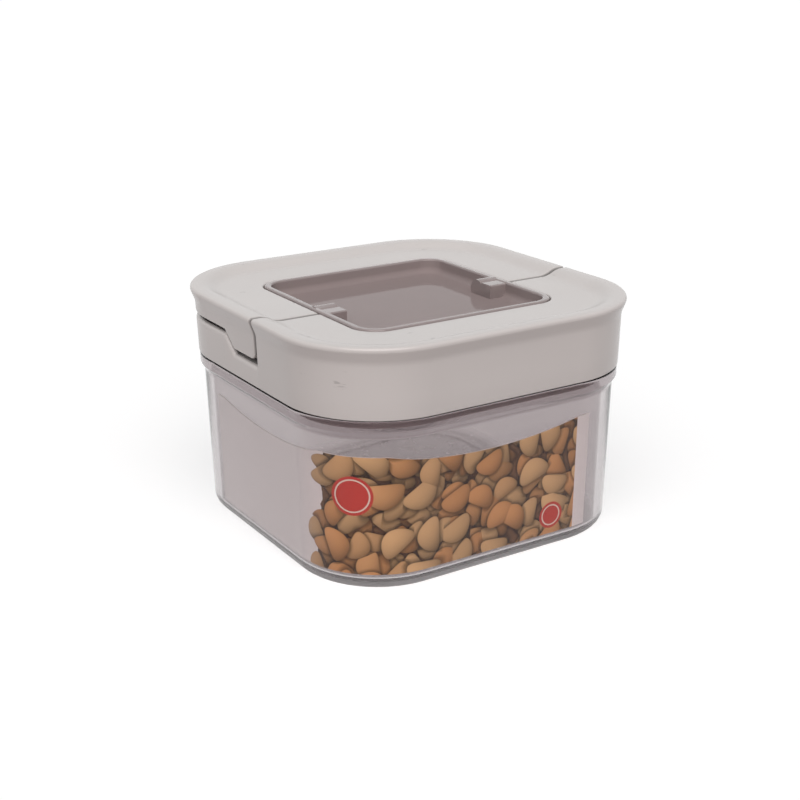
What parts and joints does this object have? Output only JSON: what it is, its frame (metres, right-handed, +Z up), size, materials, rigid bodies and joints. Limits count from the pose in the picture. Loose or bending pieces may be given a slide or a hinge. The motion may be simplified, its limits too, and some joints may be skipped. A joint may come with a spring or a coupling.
{
  "type": "food canister",
  "caption": "Clear rounded-square food canister with a white lid, a printed card inside and a flip handle whose cams pull up a smoky inner tray to squeeze the seal.",
  "frame": {"origin": "middle of the base on the surface that the canister stands on", "axes": "+Z up, -Y the front face, +Y the side where the handle is lifted, +X to the right seen from the front"},
  "size_m": [0.108, 0.108, 0.0692],
  "materials": {
    "clear_plastic": "clear, polished",
    "printed_card": "printed paper card",
    "white_cover": "satin white",
    "white_ring": "satin white",
    "smoky_plastic": "smoky, see-through, polished",
    "silicone": "soft translucent white",
    "white_handle": "satin white",
    "pin_plastic": "natural plastic"
  },
  "bodies": {
    "cup": {"container": "clear_plastic", "label_insert": "printed_card"},
    "lid": {"lid_cover": "white_cover", "lid_base_ring": "white_ring"},
    "inner_lid": {"inner_tray": "smoky_plastic", "seal_gasket": "silicone", "pivot_pin_left": "pin_plastic", "pivot_pin_right": "pin_plastic"},
    "handle": {"flip_handle": "white_handle"}
  },
  "joints": [
    {"name": "lid_lift", "type": "slide", "parent": "cup", "child": "lid", "axis": [0, 0, 1], "range_m": [0, 0.08]},
    {"name": "tray_drop", "type": "slide", "parent": "lid", "child": "inner_lid", "axis": [0, 0, -1], "range_m": [0, 0.0022]},
    {"name": "handle_flip", "type": "hinge", "parent": "inner_lid", "child": "handle", "pos_m": [0, -0.0019, 0.0648], "axis": [1, 0, 0], "range_deg": [0, 90]}
  ],
  "couplings": [
    {"joint": "tray_drop", "follows": "handle_flip", "m_per_rad": 0.0013687}
  ]
}
